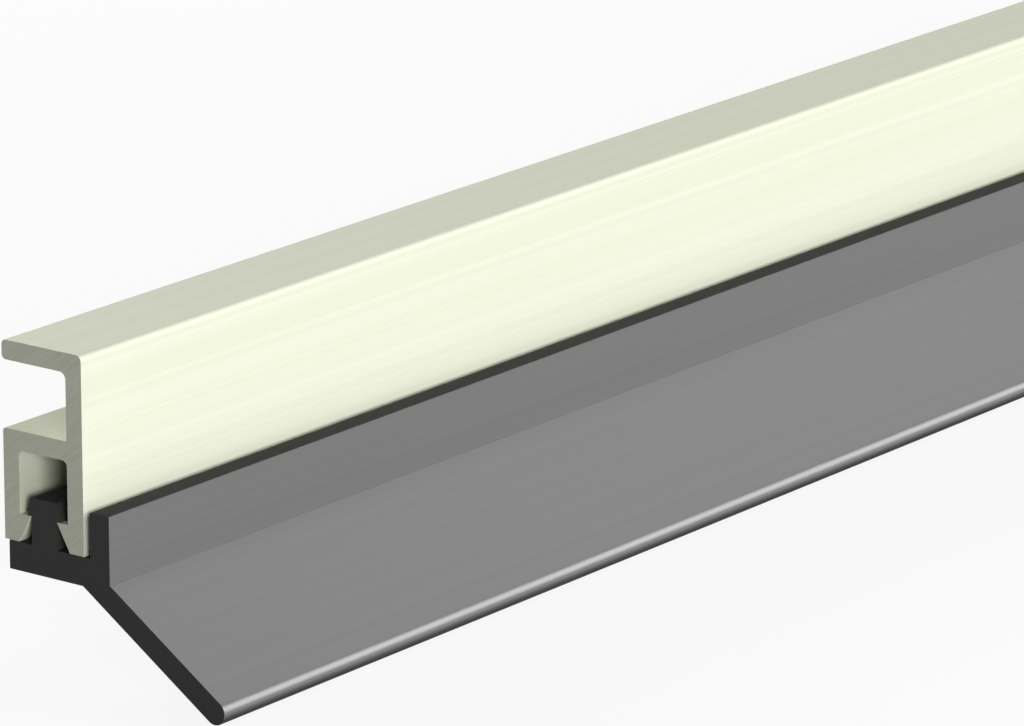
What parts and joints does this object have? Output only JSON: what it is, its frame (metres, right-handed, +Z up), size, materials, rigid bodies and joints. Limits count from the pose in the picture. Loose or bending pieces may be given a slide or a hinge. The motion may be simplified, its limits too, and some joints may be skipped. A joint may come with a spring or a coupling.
{
  "type": "door bottom seal strip",
  "caption": "Slim E-section aluminium strip with a side slot, holding a black rubber seal by its barbed root; the seal's round-tipped lip slopes down to wipe the floor.",
  "frame": {"origin": "mid-length of the strip, in the middle of the carrier's top face", "axes": "+X along the strip; -Y is the front, towards which the lip points; +Z up, towards the door"},
  "size_m": [0.914, 0.0203, 0.0252],
  "materials": {
    "carrier_aluminium": "satin anodised, pale champagne grey, fine extrusion lines along the strip",
    "seal_rubber": "black extruded EPDM rubber with a dull sheen"
  },
  "bodies": {
    "root": {"carrier_profile": "carrier_aluminium", "wiper_seal": "seal_rubber"}
  },
  "joints": []
}
